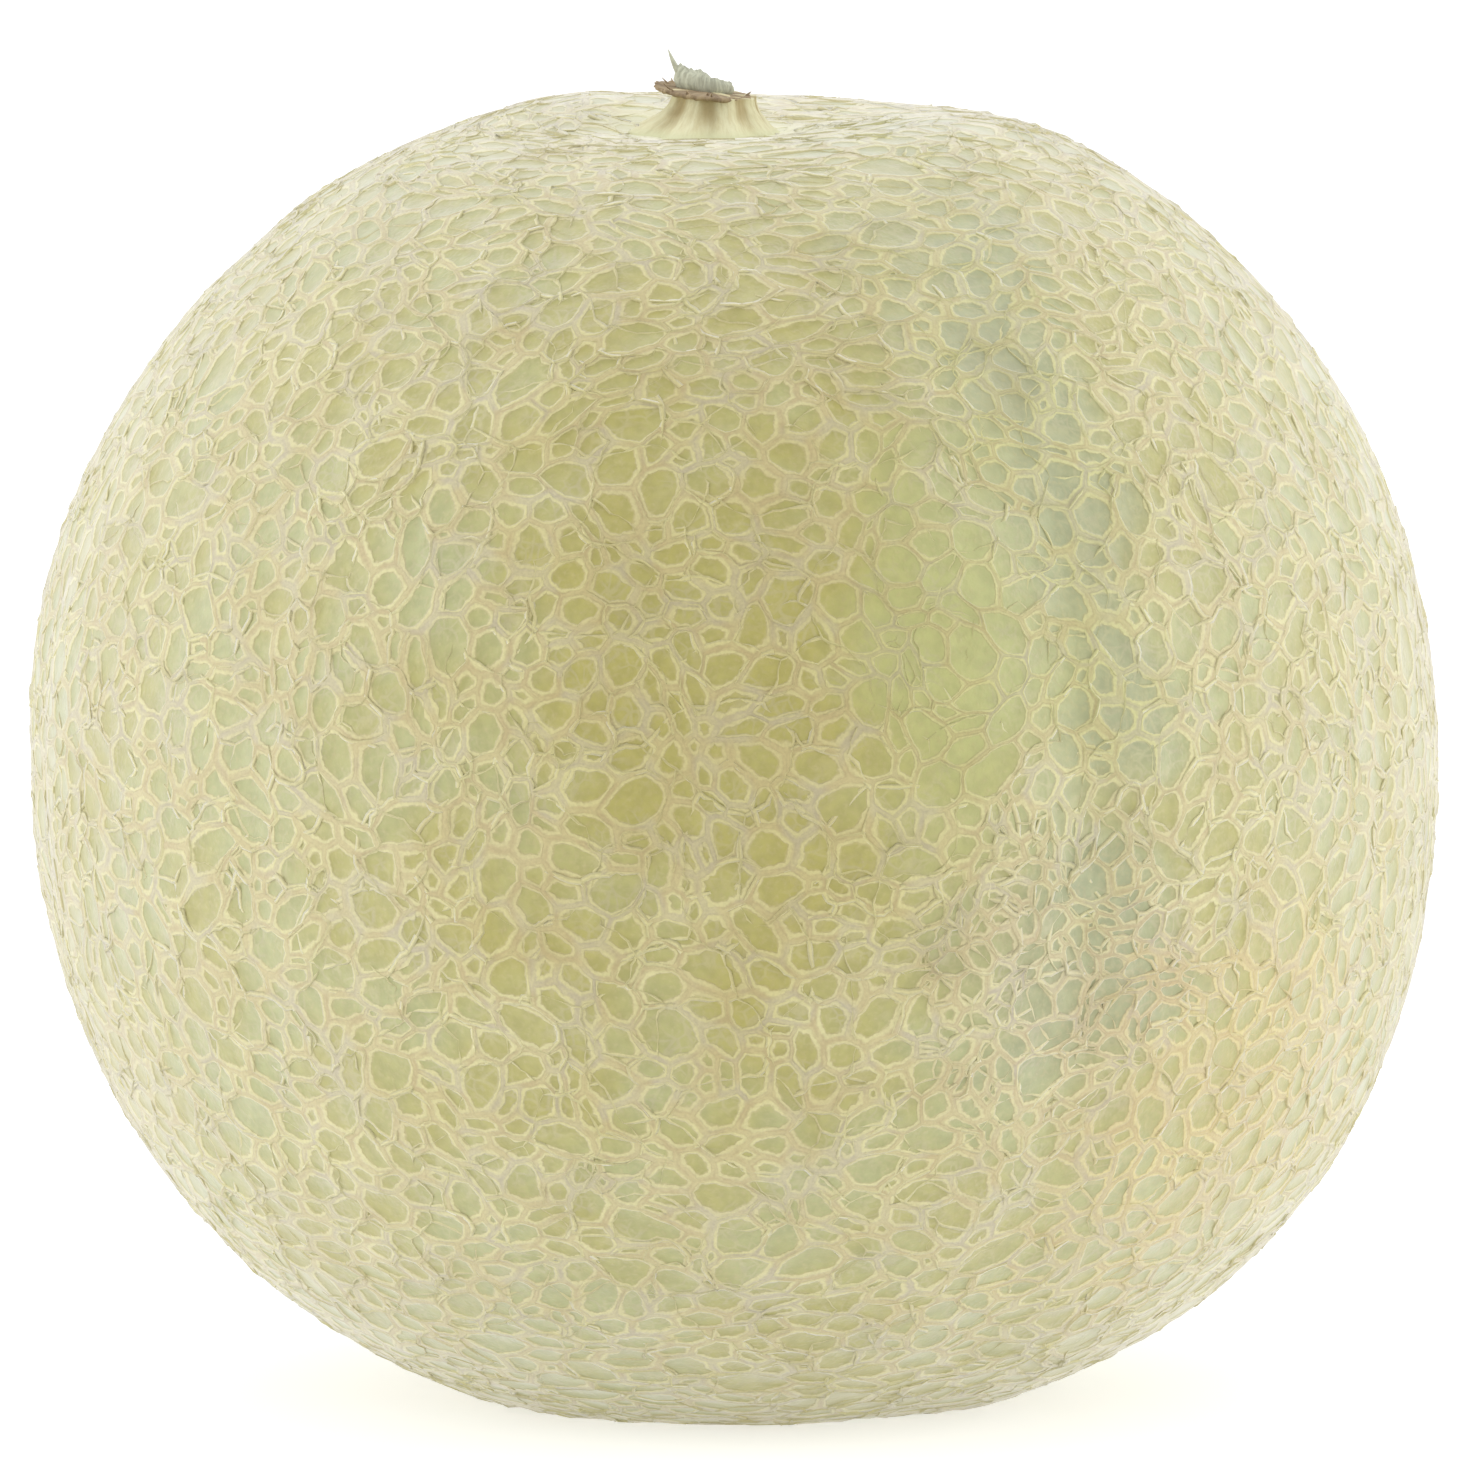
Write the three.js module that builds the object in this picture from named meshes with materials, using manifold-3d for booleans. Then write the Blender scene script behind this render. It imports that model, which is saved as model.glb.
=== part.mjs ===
// A netted cantaloupe melon as picked, standing on the ground spot of its rind.
// Millimetres, +Z up. The origin is on the surface it stands on, under the middle of the fruit,
// and the side with the open suture faces -Y.
import * as THREE from "three";
import { ConvexHull } from "three/addons/math/ConvexHull.js";
import { mergeVertices } from "three/addons/utils/BufferGeometryUtils.js";
import Module from "manifold-3d";

const wasm = await Module();
wasm.setup();

const { clamp, degToRad, radToDeg, seededRandom, smoothstep } = THREE.MathUtils;
const SIDEWAYS = new THREE.Vector3(1, 0, 0);

// The fruit: a round belt, a crown and a base that are each nearly half an ellipsoid, and
// the places where it is fuller or flatter than that. Its axis tips a little towards -Y.
const BELT_RADIUS = 76;
const BELT_HEIGHT = 72.6;
const CROWN = { semiHeight: 75.1, fullness: 1.96 };
const BASE = { semiHeight: 76.3, fullness: 2.25 };
const SWELLINGS = [
  { toward: new THREE.Vector3(-1, 0, 0.05), height: 2.1, spread: 40 },
  { toward: new THREE.Vector3(0.75, 0, -0.65), height: 1.3, spread: 24 },
  { toward: new THREE.Vector3(-0.24, 0.16, 0.96), height: 1.4, spread: 10 },
  { toward: new THREE.Vector3(0.13, 0.14, 1), height: -1.8, spread: 11 },
];
const TIP = degToRad(3);
const STEM_LEAN = degToRad(5); // on the crown's slope towards +X

// The crown sinks round the stem, so that it is flat with a faint hollow
const STEM_AXIS = new THREE.Vector2(-3.4, -1.5);
const HOLLOW_DEPTH = 8.4;
const HOLLOW_SPREAD = 18;

// The shallow sutures that run from the stem to the base; the one in front is open and wide
const SUTURES = 10;
const FRONT_SUTURE = degToRad(-61);
const SUTURE_DEPTH = 0.5;
const SUTURE_HALF_WIDTH = 4;
const OPEN_SUTURE_DEPTH = 0.9;
const OPEN_SUTURE_HALF_WIDTH = 9;

// The corky net: cells of the rind with a ridge between each two. It is drawn larger than life.
const CELLS = 700;
const NET_SEED = 41;
const CELL_JITTER = 0.42; // of the distance between two cells
const RELAX_ROUNDS = 1;
const END_STRETCH = 0.4; // how much wider than high the cells become towards the two ends
const RIDGE_HEIGHT = 1.6;
const RIDGE_HALF_WIDTH = 1.25;
const SMALLEST_FLOOR = 0.3; // of the cell's size, where a cell is too small for its ridges
const BARE_RADIUS = 9.5; // round the stem, where the rind has no net
const NET_RADIUS = 14; // and where the net has its full height

// The dried stem stub: a ribbed foot on the rind, a root in the fruit, and a torn end
const FOOT_RADIUS = 8.6;
const FOOT_EDGE = 0.5;
const RIBS = 8;
const RIB_TURN = degToRad(-71); // where one of them stands
const RIB_SHARE = 0.11;
const NECK_RADIUS = 4.5;
const NECK_HEIGHT = 4.8;
const ROOT_RADIUS = 3.9;
const ROOT_DEPTH = 2.2;
const CLEARANCE = 0.3;
const STUB_SEGMENTS = 60;
const COLLAR_RADIUS = 5.3;
const COLLAR_THICKNESS = 0.6;
const COLLAR_X = -0.7;
const TORN_END = { radius: 3.2, height: 2.2, x: -0.4 };
const SPLINTER = { radius: 0.75, length: 5.2, lean: degToRad(34), x: -1.9 };
const TEAR_SEED = 7;

const RIND_COLOUR = 0xd3cf9c;
const STEM_COLOUR = 0xa18f66;

// Closed shapes as solids that can be cut and joined, and back
function solidOf(geometry) {
  const bare = geometry.clone();
  bare.deleteAttribute("normal");
  bare.deleteAttribute("uv");
  const merged = mergeVertices(bare);
  return new wasm.Manifold(
    new wasm.Mesh({
      numProp: 3,
      vertProperties: merged.getAttribute("position").array,
      triVerts: new Uint32Array(merged.index.array),
    }),
  );
}

function geometryOf(solid) {
  const mesh = solid.getMesh();
  return new THREE.BufferGeometry()
    .setAttribute("position", new THREE.BufferAttribute(mesh.vertProperties, 3))
    .setIndex(new THREE.BufferAttribute(mesh.triVerts, 1));
}

function geometryFrom(points, triangles) {
  return new THREE.BufferGeometry()
    .setFromPoints(points)
    .setIndex(triangles.flat());
}

// How far the rind sinks at its sutures. The share is 1 at the belt and fades to both ends.
function sutureDepth(direction, levelRadius) {
  const share = direction.x ** 2 + direction.y ** 2;
  const turn = Math.atan2(direction.y, direction.x) - FRONT_SUTURE;
  const spacing = (2 * Math.PI) / SUTURES;
  const across = (turn - spacing * Math.round(turn / spacing)) * levelRadius;
  const fromOpen = (turn - 2 * Math.PI * Math.round(turn / (2 * Math.PI))) * levelRadius;
  return (
    share *
    (SUTURE_DEPTH * Math.exp(-((across / SUTURE_HALF_WIDTH) ** 2)) +
      OPEN_SUTURE_DEPTH * Math.exp(-((fromOpen / OPEN_SUTURE_HALF_WIDTH) ** 2)))
  );
}

function swelling(direction) {
  return SWELLINGS.reduce((total, { toward, height, spread }) => {
    const away = direction.angleTo(toward) * BELT_RADIUS;
    return total + height * Math.exp(-((away / spread) ** 2) / 2);
  }, 0);
}

// The point of the rind in a direction from the middle of the belt, raised by lift.
// The ground spot is where the base would reach below the surface that the fruit stands on.
function rindPoint(direction, lift) {
  const { semiHeight, fullness } = direction.z > 0 ? CROWN : BASE;
  const level = Math.hypot(direction.x, direction.y);
  const reach =
    ((level / BELT_RADIUS) ** fullness + (Math.abs(direction.z) / semiHeight) ** fullness) **
    (-1 / fullness);
  const sunk = sutureDepth(direction, level * reach);
  const point = direction.clone().multiplyScalar(reach + swelling(direction) - sunk);
  const fromStem = Math.hypot(point.x - STEM_AXIS.x, point.y - STEM_AXIS.y);
  const onCrown = direction.z > 0;
  const relief = onCrown ? smoothstep(fromStem, BARE_RADIUS, NET_RADIUS) : 1;
  point.addScaledVector(direction, lift * relief);
  if (onCrown) point.z -= HOLLOW_DEPTH * Math.exp(-((fromStem / HOLLOW_SPREAD) ** 2) / 2);
  point.applyAxisAngle(SIDEWAYS, TIP);
  point.z = Math.max(point.z + BELT_HEIGHT, 0);
  return point;
}

// The net is laid out on an even ball, whose levels are then moved towards its two ends,
// so that the cells there are wider than high.
function stretchedPolar(evenPolar) {
  return (
    2 *
    Math.atan(
      Math.tan(evenPolar / 2) ** (1 - END_STRETCH) * Math.exp(-END_STRETCH * Math.cos(evenPolar)),
    )
  );
}

function evenPolarFor(polar) {
  let low = 0;
  let high = Math.PI;
  for (let halving = 0; halving < 40; halving++) {
    const middle = (low + high) / 2;
    if (stretchedPolar(middle) < polar) low = middle;
    else high = middle;
  }
  return (low + high) / 2;
}

function directionAt(polar, turn) {
  const level = Math.sin(polar);
  return new THREE.Vector3(level * Math.cos(turn), level * Math.sin(turn), Math.cos(polar));
}

function stretched(direction) {
  const polar = stretchedPolar(Math.acos(clamp(direction.z, -1, 1)));
  return directionAt(polar, Math.atan2(direction.y, direction.x));
}

// The middles of the cells: a spiral of equal areas, each shaken by a seeded draw
function cellMiddles() {
  const goldenTurn = Math.PI * (3 - Math.sqrt(5));
  const shake = CELL_JITTER * Math.sqrt((4 * Math.PI) / CELLS);
  const random = (index) => seededRandom(NET_SEED + index) * 2 - 1;
  return Array.from({ length: CELLS }, (_, index) => {
    const polar = evenPolarFor(Math.acos(1 - (2 * (index + 0.5)) / CELLS));
    const middle = directionAt(polar, index * goldenTurn);
    const shaken = new THREE.Vector3(
      random(3 * index),
      random(3 * index + 1),
      random(3 * index + 2),
    );
    return middle.addScaledVector(shaken, shake).normalize();
  });
}

// The cells round those middles. Each three neighbours meet at a junction, which is
// where the facet of the middles' convex hull points.
function netOf(middles) {
  const hull = new ConvexHull().setFromPoints(middles);
  const junctions = hull.faces.map((face) => face.normal.clone());
  const around = new Map(middles.map((middle) => [middle, []]));
  hull.faces.forEach((face, junction) => {
    let edge = face.edge;
    do {
      around.get(edge.head().point).push(junction);
      edge = edge.next;
    } while (edge !== face.edge);
  });
  const cells = middles.map((middle) => {
    const east = new THREE.Vector3(0, 0, 1).cross(middle).normalize();
    const north = middle.clone().cross(east);
    const bearing = (junction) =>
      Math.atan2(junctions[junction].dot(north), junctions[junction].dot(east));
    return around.get(middle).sort((a, b) => bearing(a) - bearing(b));
  });
  return { junctions, cells };
}

function meanOf(points) {
  const sum = points.reduce((total, point) => total.add(point), new THREE.Vector3());
  return sum.divideScalar(points.length);
}

function relaxed(middles) {
  const { junctions, cells } = netOf(middles);
  return cells.map((cell) => meanOf(cell.map((junction) => junctions[junction])).normalize());
}

// The share of a cell, drawn in towards its middle, that its ridges leave free
function floorShare(corners, middle) {
  const nearestSide = Math.min(
    ...corners.map((corner, index) => {
      const next = corners[(index + 1) % corners.length];
      const side = new THREE.Line3(corner, next);
      return side.closestPointToPoint(middle, true, new THREE.Vector3()).distanceTo(middle);
    }),
  );
  return Math.max(1 - RIDGE_HALF_WIDTH / nearestSide, SMALLEST_FLOOR);
}

// The whole rind in one closed surface: a crest line along the sides of every cell,
// a slope down from it all round, and the cell's floor
function nettedRind() {
  let middles = cellMiddles();
  for (let round = 0; round < RELAX_ROUNDS; round++) middles = relaxed(middles);
  const { junctions, cells } = netOf(middles);
  const directions = junctions.map(stretched);
  const points = directions.map((direction) => rindPoint(direction, RIDGE_HEIGHT / 2));
  const triangles = [];
  for (const cell of cells) {
    const corners = cell.map((junction) => directions[junction]);
    const middle = meanOf(corners);
    const share = floorShare(
      corners.map((corner) => corner.clone().multiplyScalar(BELT_RADIUS)),
      middle.clone().multiplyScalar(BELT_RADIUS),
    );
    const firstFoot = points.length;
    for (const corner of corners) {
      const foot = middle.clone().lerp(corner, share).normalize();
      points.push(rindPoint(foot, -RIDGE_HEIGHT / 2));
    }
    cell.forEach((crest, index) => {
      const following = (index + 1) % cell.length;
      const foot = firstFoot + index;
      const nextFoot = firstFoot + following;
      triangles.push([crest, cell[following], nextFoot], [crest, nextFoot, foot]);
      if (index > 0 && following > 0) triangles.push([firstFoot, foot, nextFoot]);
    });
  }
  return geometryFrom(points, triangles);
}

// A closed solid round the Z axis from rings listed from the bottom up.
// Each ring is a function of the turn that gives its radius and height there.
function ringedSolid(rings, segments) {
  const points = [];
  const triangles = [];
  for (const ring of rings) {
    for (let segment = 0; segment < segments; segment++) {
      const turn = (2 * Math.PI * segment) / segments;
      const { radius, height } = ring(turn);
      points.push(new THREE.Vector3(radius * Math.cos(turn), radius * Math.sin(turn), height));
    }
  }
  const bottomMiddle = points.push(meanOf(points.slice(0, segments))) - 1;
  const topRing = (rings.length - 1) * segments;
  const topMiddle = points.push(meanOf(points.slice(topRing, topRing + segments))) - 1;
  for (let segment = 0; segment < segments; segment++) {
    const following = (segment + 1) % segments;
    triangles.push([bottomMiddle, following, segment]);
    triangles.push([topMiddle, topRing + segment, topRing + following]);
    for (let ring = 0; ring < rings.length - 1; ring++) {
      const [low, lowNext] = [ring * segments + segment, ring * segments + following];
      const [high, highNext] = [low + segments, lowNext + segments];
      triangles.push([low, lowNext, highNext], [low, highNext, high]);
    }
  }
  return solidOf(geometryFrom(points, triangles));
}

const evenRing = (radius, height) => () => ({ radius, height });

// A ring with a rib in every eighth of a turn, which stands out by a share of its radius
const ribbedRing = (radius, height, ribShare) => (turn) => ({
  radius: radius * (1 + ribShare * Math.cos(RIBS * (turn - RIB_TURN))),
  height,
});

// A ragged ring: three waves of the rim with seeded phases, that lift the rim as well
function tornRing(radius, height, raggedness, seed) {
  const waves = [2, 5, 9].map((count, index) => ({
    count,
    phase: 2 * Math.PI * seededRandom(seed + index),
  }));
  return (turn) => {
    const wave = waves.reduce(
      (total, { count, phase }) => total + Math.cos(count * turn + phase) / waves.length,
      0,
    );
    return { radius: radius * (1 + raggedness * wave), height: height + raggedness * wave };
  };
}

// The stub's ribbed foot flares from the neck to the rind in a hollow curve
function ribbedFoot() {
  const flareSteps = 6;
  const flare = Array.from({ length: flareSteps + 1 }, (_, step) => {
    const share = step / flareSteps;
    const radius = NECK_RADIUS + (FOOT_RADIUS - NECK_RADIUS) * (1 - share) ** 2;
    const height = FOOT_EDGE + (NECK_HEIGHT - FOOT_EDGE) * share;
    return ribbedRing(radius, height, RIB_SHARE * (1 - share / 2));
  });
  return ringedSolid(
    [
      evenRing(ROOT_RADIUS, -ROOT_DEPTH),
      evenRing(ROOT_RADIUS, 0),
      ribbedRing(FOOT_RADIUS, 0, RIB_SHARE),
      ...flare,
    ],
    STUB_SEGMENTS,
  );
}

// The dried collar that the neck ends in, with the torn end of the stem on it
function tornCollar() {
  const underside = NECK_HEIGHT - COLLAR_THICKNESS / 2;
  return ringedSolid(
    [
      tornRing(NECK_RADIUS * 0.8, underside, 0.1, TEAR_SEED),
      tornRing(COLLAR_RADIUS, underside + COLLAR_THICKNESS / 3, 0.22, TEAR_SEED),
      tornRing(COLLAR_RADIUS * 0.97, underside + COLLAR_THICKNESS, 0.22, TEAR_SEED),
      tornRing(NECK_RADIUS * 0.7, underside + COLLAR_THICKNESS, 0.1, TEAR_SEED),
    ],
    STUB_SEGMENTS / 2,
  ).translate([COLLAR_X, 0, 0]);
}

function tornEnd() {
  const { radius, height, x } = TORN_END;
  const root = NECK_HEIGHT - COLLAR_THICKNESS;
  return ringedSolid(
    [
      tornRing(radius, root, 0.1, TEAR_SEED + 3),
      tornRing(radius * 0.95, NECK_HEIGHT + height * 0.6, 0.35, TEAR_SEED + 3),
      tornRing(radius * 0.5, NECK_HEIGHT + height, 0.45, TEAR_SEED + 6),
    ],
    STUB_SEGMENTS / 3,
  ).translate([x, 0, 0]);
}

function splinter() {
  const { radius, length, lean, x } = SPLINTER;
  const spike = new THREE.ConeGeometry(radius, length, 7)
    .rotateX(Math.PI / 2)
    .scale(1, 0.7, 1)
    .translate(0, 0, length / 2)
    .rotateY(-lean)
    .translate(x, 0, NECK_HEIGHT - COLLAR_THICKNESS / 2);
  return solidOf(spike);
}

// The place for the foot and the root in the fruit, a clearance wider than they are
function stemSeat() {
  const widest = FOOT_RADIUS * (1 + RIB_SHARE) + CLEARANCE;
  const rootHole = ROOT_RADIUS + CLEARANCE;
  return ringedSolid(
    [
      evenRing(rootHole, -ROOT_DEPTH - CLEARANCE),
      evenRing(rootHole, -CLEARANCE),
      evenRing(widest, -CLEARANCE),
      evenRing(widest, NECK_HEIGHT),
    ],
    STUB_SEGMENTS,
  );
}

const towardStem = new THREE.Vector3(STEM_AXIS.x, STEM_AXIS.y, CROWN.semiHeight).normalize();
const underStem = rindPoint(towardStem, 0);
const stemPlace = [underStem.x, underStem.y, underStem.z - FOOT_EDGE / 2];

const seat = stemSeat().rotate([radToDeg(TIP), radToDeg(STEM_LEAN), 0]).translate(stemPlace);
const fruitSolid = solidOf(nettedRind()).subtract(seat);
const stubSolid = ribbedFoot().add(tornCollar()).add(tornEnd()).add(splinter());

const fruit = new THREE.Mesh(
  geometryOf(fruitSolid),
  new THREE.MeshStandardMaterial({ color: RIND_COLOUR, roughness: 0.62, metalness: 0 }),
);
fruit.name = "melon_fruit";

const stub = new THREE.Mesh(
  geometryOf(stubSolid),
  new THREE.MeshStandardMaterial({ color: STEM_COLOUR, roughness: 0.85, metalness: 0 }),
);
stub.name = "stem_stub";
stub.position.fromArray(stemPlace);
stub.rotation.set(TIP, STEM_LEAN, 0, "ZYX");

// The whole melon stands with the middle of its outline over the origin
const melon = new THREE.Group();
melon.add(fruit, stub);
const outline = new THREE.Box3().setFromObject(melon, true);
const middle = outline.getCenter(new THREE.Vector3());
melon.position.set(-middle.x, -middle.y, 0);

export default melon;
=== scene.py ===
import math

import bpy
import numpy as np
from mathutils import Matrix, Vector, noise


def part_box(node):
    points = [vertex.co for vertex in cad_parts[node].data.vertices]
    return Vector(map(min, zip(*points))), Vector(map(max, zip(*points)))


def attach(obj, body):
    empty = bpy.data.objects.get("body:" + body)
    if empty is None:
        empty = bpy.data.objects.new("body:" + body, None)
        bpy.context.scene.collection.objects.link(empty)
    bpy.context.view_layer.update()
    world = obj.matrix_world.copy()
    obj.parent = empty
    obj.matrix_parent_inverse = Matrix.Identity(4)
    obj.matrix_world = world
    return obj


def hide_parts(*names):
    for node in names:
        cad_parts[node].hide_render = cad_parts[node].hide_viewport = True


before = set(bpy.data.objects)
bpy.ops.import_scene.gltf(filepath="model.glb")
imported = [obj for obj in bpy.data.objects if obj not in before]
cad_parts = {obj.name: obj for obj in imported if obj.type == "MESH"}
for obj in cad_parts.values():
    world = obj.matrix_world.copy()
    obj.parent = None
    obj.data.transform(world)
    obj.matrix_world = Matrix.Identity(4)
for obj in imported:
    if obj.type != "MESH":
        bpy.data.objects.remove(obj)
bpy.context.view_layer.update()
print("frame loaded", sorted(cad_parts))

mm = 0.001
body = "root"


# Nodes, for the trees below

def put(tree, kind, values=None, **settings):
    # one node; each value is a number, a colour or another node's output
    node = tree.nodes.new(kind)
    for name, value in settings.items():
        setattr(node, name, value)
    for name, value in (values or {}).items():
        if isinstance(value, bpy.types.NodeSocket):
            tree.links.new(value, node.inputs[name])
        else:
            node.inputs[name].default_value = value
    return node


def calc(tree, operation, *values, clamp=False):
    node = put(tree, "ShaderNodeMath", dict(enumerate(values)), operation=operation)
    node.use_clamp = clamp
    return node.outputs[0]


def vector(tree, operation, *values):
    node = put(tree, "ShaderNodeVectorMath", dict(enumerate(values)), operation=operation)
    return node.outputs["Value" if operation in {"DOT_PRODUCT", "LENGTH"} else "Vector"]


def scaled(tree, value, factor):
    return put(tree, "ShaderNodeVectorMath", {0: value, "Scale": factor}, operation="SCALE").outputs[0]


def blended(tree, share, first, second):
    return put(tree, "ShaderNodeMix", {0: share, 2: first, 3: second}, data_type="FLOAT").outputs[0]


def remap(tree, value, low, high, newLow=0.0, newHigh=1.0):
    # a soft step from newLow to newHigh while value goes from low to high
    node = put(tree, "ShaderNodeMapRange", {"Value": value}, interpolation_type="SMOOTHSTEP")
    for name, number in zip(("From Min", "From Max", "To Min", "To Max"), (low, high, newLow, newHigh)):
        node.inputs[name].default_value = number
    return node.outputs[0]


def blendColours(tree, share, first, second, way="MIX"):
    node = put(tree, "ShaderNodeMix", data_type="RGBA", blend_type=way)
    for socket, value in zip((node.inputs[0], node.inputs[6], node.inputs[7]), (share, first, second)):
        if isinstance(value, bpy.types.NodeSocket):
            tree.links.new(value, socket)
        else:
            socket.default_value = value
    return node.outputs[2]


def addSockets(tree, inputs, outputs):
    for name, kind, value in inputs:
        socket = tree.interface.new_socket(name=name, in_out="INPUT", socket_type=kind)
        if value is not None:
            socket.default_value = value
    for name, kind in outputs:
        tree.interface.new_socket(name=name, in_out="OUTPUT", socket_type=kind)
    return tree.nodes.new("NodeGroupInput").outputs, tree.nodes.new("NodeGroupOutput").inputs


def hexColour(text):
    # an sRGB colour such as "ddd8b0" in Blender's linear values
    channels = [int(text[i:i + 2], 16) / 255 for i in (0, 2, 4)]
    return (*[c / 12.92 if c <= 0.04045 else ((c + 0.055) / 1.055) ** 2.4 for c in channels], 1.0)


# The fruit's form, in millimetres from the middle of its belt. Everything on the fruit is first
# laid out on a plain ball of the belt's radius and then carried to this form.
fruit = {
    "beltRadius": 76.0,
    "beltHeight": 72.6,  # of the belt over the ground spot
    "crown": (75.1, 1.96),  # half height, and the power of its outline
    "base": (76.3, 2.25),
    "swellings": [((-1, 0, 0.05), 2.1, 40.0), ((0.75, 0, -0.65), 1.3, 24.0),
                  ((-0.24, 0.16, 0.96), 1.4, 10.0), ((0.13, 0.14, 1), -1.8, 11.0)],
    "tip": math.radians(3),  # of the stem end towards -Y
    "stemLean": math.radians(5),  # towards +X
    "stemAxis": (-3.4, -1.5),
    "hollow": (8.4, 18.0),  # depth and spread of the flat crown
    "sutures": 10,
    "frontSuture": math.radians(-61),
    "sutureDepth": 0.5,
    "sutureHalfWidth": 4.0,
    "openDepth": 0.9,  # the suture in front is open and wide
    "openHalfWidth": 9.0,
    "endStretch": 0.4,  # cells get wider than high towards the two ends
    "bareRadius": 7.6,  # round the stem, no net
    "netRadius": 14.0,  # from here on it has its full height
    "paleCrown": (8, 16),  # radii between which the pale skin round the stem ends
    "groundSpot": (0.86, 0.97),  # how far down its colour begins and is full
}
ballRadius = fruit["beltRadius"]


def softStep(value, low, high):
    share = np.clip((value - low) / (high - low), 0, 1)
    return share * share * (3 - 2 * share)


def normalised(points):
    return points / np.linalg.norm(points, axis=-1, keepdims=True)


def stretchedPolar(evenPolar):
    stretch = fruit["endStretch"]
    half = np.clip(evenPolar, 1e-6, math.pi - 1e-6) / 2
    return 2 * np.arctan(np.tan(half) ** (1 - stretch) * np.exp(-stretch * np.cos(2 * half)))


def evenPolarFor(polar):
    table = np.linspace(0, math.pi, 4001)
    return np.interp(polar, stretchedPolar(table), table)


def directionsAt(polar, turn):
    level = np.sin(polar)
    return np.stack([level * np.cos(turn), level * np.sin(turn), np.cos(polar)], axis=-1)


def turnedFrom(turn, start):
    # the shortest turn from start, in radians
    return (turn - start + math.pi) % (2 * math.pi) - math.pi


def sutureDepth(directions, levelRadius):
    share = directions[:, 0] ** 2 + directions[:, 1] ** 2
    turn = turnedFrom(np.arctan2(directions[:, 1], directions[:, 0]), fruit["frontSuture"])
    spacing = 2 * math.pi / fruit["sutures"]
    across = (turn - spacing * np.round(turn / spacing)) * levelRadius
    each = fruit["sutureDepth"] * np.exp(-(across / fruit["sutureHalfWidth"]) ** 2)
    wide = fruit["openDepth"] * np.exp(-(turn * levelRadius / fruit["openHalfWidth"]) ** 2)
    return share * (each + wide)


def formPoints(directions, lift):
    # the points of the rind in these directions, raised by lift
    up = directions[:, 2] > 0
    halfHeight = np.where(up, fruit["crown"][0], fruit["base"][0])
    power = np.where(up, fruit["crown"][1], fruit["base"][1])
    level = np.hypot(directions[:, 0], directions[:, 1])
    reach = ((level / fruit["beltRadius"]) ** power
             + (np.abs(directions[:, 2]) / halfHeight) ** power) ** (-1 / power)
    sunk = sutureDepth(directions, level * reach)
    for toward, height, spread in fruit["swellings"]:
        away = np.arccos(np.clip(directions @ normalised(np.array(toward, float)), -1, 1))
        reach = reach + height * np.exp(-(away * fruit["beltRadius"] / spread) ** 2 / 2)
    points = directions * (reach - sunk)[:, None]
    fromStem = np.hypot(points[:, 0] - fruit["stemAxis"][0], points[:, 1] - fruit["stemAxis"][1])
    relief = np.where(up, softStep(fromStem, fruit["bareRadius"], fruit["netRadius"]), 1)
    points += directions * (lift * relief)[:, None]
    depth, spread = fruit["hollow"]
    points[:, 2] -= np.where(up, depth * np.exp(-(fromStem / spread) ** 2 / 2), 0)
    return points @ np.array(Matrix.Rotation(fruit["tip"], 3, "X")).T, fromStem


def ontoFruit(points):
    # carries points near the ball to the fruit, standing on its ground spot
    radius = np.linalg.norm(points, axis=1)
    directions = points / radius[:, None]
    polar = stretchedPolar(np.arccos(np.clip(directions[:, 2], -1, 1)))
    directions = directionsAt(polar, np.arctan2(directions[:, 1], directions[:, 0]))
    placed, fromStem = formPoints(directions, radius - ballRadius)
    placed[:, 2] = np.maximum(placed[:, 2] + fruit["beltHeight"], 0)
    return placed, directions, fromStem


def readPoints(mesh):
    points = np.empty(len(mesh.vertices) * 3, np.float32)
    mesh.vertices.foreach_get("co", points)
    return points.reshape(-1, 3).astype(float)


def writePoints(mesh, points):
    mesh.vertices.foreach_set("co", points.astype(np.float32).ravel())
    mesh.update()


def storeMask(mesh, name, values):
    layer = mesh.attributes.get(name) or mesh.attributes.new(name, "FLOAT", "POINT")
    layer.data.foreach_set("value", values.astype(np.float32))


def linked(name, mesh):
    piece = bpy.data.objects.new(name, mesh)
    bpy.context.scene.collection.objects.link(piece)
    return piece


def grown(name, points, tree, values):
    # runs a node tree on loose points and returns its plain mesh
    start = bpy.data.meshes.new(name)
    start.from_pydata(points.tolist(), [], [])
    piece = linked(name, start)
    modifier = piece.modifiers.new("grow", "NODES")
    modifier.node_group = tree
    sockets = {item.name: item.identifier for item in tree.interface.items_tree
               if item.item_type == "SOCKET" and item.in_out == "INPUT"}
    for label, value in values.items():
        modifier[sockets[label]] = value
    evaluated = piece.evaluated_get(bpy.context.evaluated_depsgraph_get())
    mesh = bpy.data.meshes.new_from_object(evaluated)
    piece.modifiers.remove(modifier)
    piece.data = mesh
    mesh.name = name
    return piece


# Parts of the rind that look different: turn about the fruit, level (1 at the stem, -1 at the
# ground), and half the width and height of each
patches = {
    "bald": (math.radians(-71), 0.27, 0.15, 0.30),  # nearly bare and light green
    "fine": (math.radians(-62), -0.20, 0.20, 0.24),  # a fine, pale and close net
    "ripe": (math.radians(-92), 0.2, 0.42, 0.62),  # more olive and darker in the middle of the front: a ripe tone and painted shade of the weakly lit front
    "sunny": (math.radians(-40), -0.42, 0.36, 0.30),  # yellowed by the sun
    "valley": (math.radians(-61), 0.45, 0.15, 0.62),  # the open suture; its skin and cords are painted darker and greyer as shade
    "stain": (math.radians(-62), 0.66, 0.05, 0.07),  # a spot of painted shade in it, darker and duller
}
patchEdge = {
    "scale": 0.09,  # of the noise, in 1/mm
    "unevenness": 1.8,
    "fade": (0.3, 1.4),  # in half widths from the middle
}


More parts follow.
